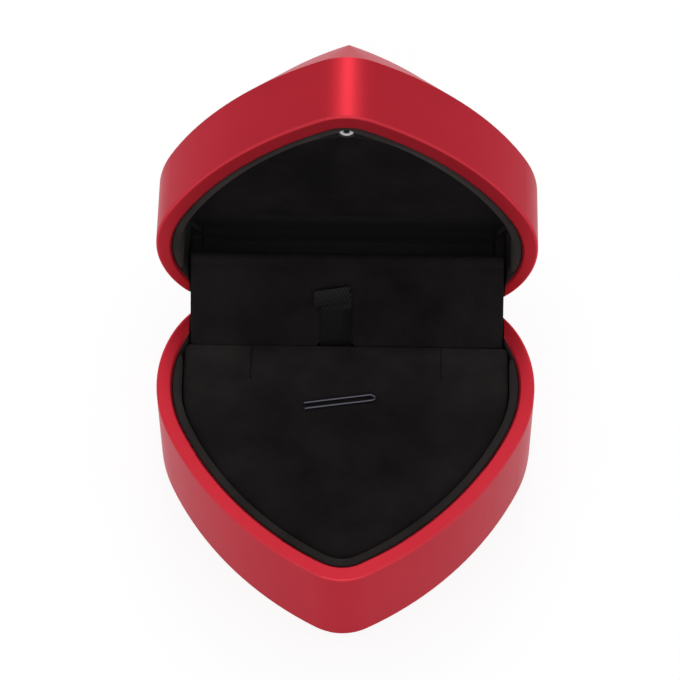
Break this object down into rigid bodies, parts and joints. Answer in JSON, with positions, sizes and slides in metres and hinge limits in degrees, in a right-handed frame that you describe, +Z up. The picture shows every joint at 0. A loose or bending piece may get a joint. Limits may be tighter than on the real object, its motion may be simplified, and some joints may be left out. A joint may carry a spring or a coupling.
{
  "type": "heart-shaped pendant box",
  "caption": "Heart-shaped pendant box with a hinged bevelled lid that carries a light, a floating hinge cover and a lift-out pad with an elastic loop and a pull ribbon.",
  "frame": {"origin": "on the surface the box stands on, below the middle of the heart's widest line", "axes": "+Z up, -Y towards the heart's tip at the front, +X to the right seen from the front; the lid stands open at a right angle behind the base"},
  "size_m": [0.075, 0.0878, 0.0858],
  "materials": {
    "red_lacquer": "satin lacquer",
    "black_suede": "napped suede cloth over foam",
    "black_flock": "flocked lining",
    "black_felt": "felt",
    "black_card": "black paperboard",
    "twill_ribbon": "twill weave",
    "navy_elastic": "covered elastic cord",
    "steel": "plain",
    "brass": "plain",
    "clear_lamp": "clear moulded resin",
    "black_plastic": "moulded",
    "green_board": "solder mask"
  },
  "bodies": {
    "base": {"base_shell": "red_lacquer", "bottom_felt": "black_felt", "base_liner": "black_flock", "base_back_panel": "black_card", "base_hinge_leaf": "steel", "base_leaf_rivets": "steel", "hinge_pin": "steel"},
    "cover": {"cover_plate": "black_plastic", "cover_pad": "black_suede"},
    "pad": {"pad_board": "black_card", "pendant_pad": "black_suede", "elastic_loop": "navy_elastic", "elastic_crimp": "steel", "ribbon_anchor": "twill_ribbon"},
    "ribbon": {"pull_ribbon": "twill_ribbon"},
    "lid": {"lid_shell": "red_lacquer", "lid_liner": "black_flock", "lid_back_panel": "black_card", "lid_hinge_leaf": "steel", "lid_leaf_rivets": "steel", "ceiling_board": "black_card", "ceiling_pad": "black_suede", "board_screws": "steel", "led": "clear_lamp", "led_holder": "black_plastic", "led_leads": "steel", "circuit_board": "green_board", "circuit_screws": "steel", "battery_holder": "black_plastic", "button_cell": "steel", "battery_contact": "brass", "tilt_switch": "brass"}
  },
  "joints": [
    {"name": "lid_hinge", "type": "hinge", "parent": "base", "child": "lid", "pos_m": [0, 0.01855, 0.0229], "axis": [1, 0, 0], "range_deg": [0, 90]},
    {"name": "cover_turn", "type": "hinge", "parent": "base", "child": "cover", "pos_m": [0, 0.01855, 0.0229], "axis": [1, 0, 0], "range_deg": [0, 45]},
    {"name": "pad_tip", "type": "hinge", "parent": "base", "child": "pad", "pos_m": [0, -0.039, 0.0216], "axis": [1, 0, 0], "range_deg": [0, 10]},
    {"name": "ribbon_flop", "type": "hinge", "parent": "pad", "child": "ribbon", "pos_m": [-0.0023, 0.00985, 0.022], "axis": [1, 0, 0], "range_deg": [0, 115]}
  ],
  "couplings": [
    {"joint": "cover_turn", "follows": "lid_hinge", "ratio": 0.5},
    {"joint": "ribbon_flop", "follows": "lid_hinge", "ratio": 1.2778}
  ]
}
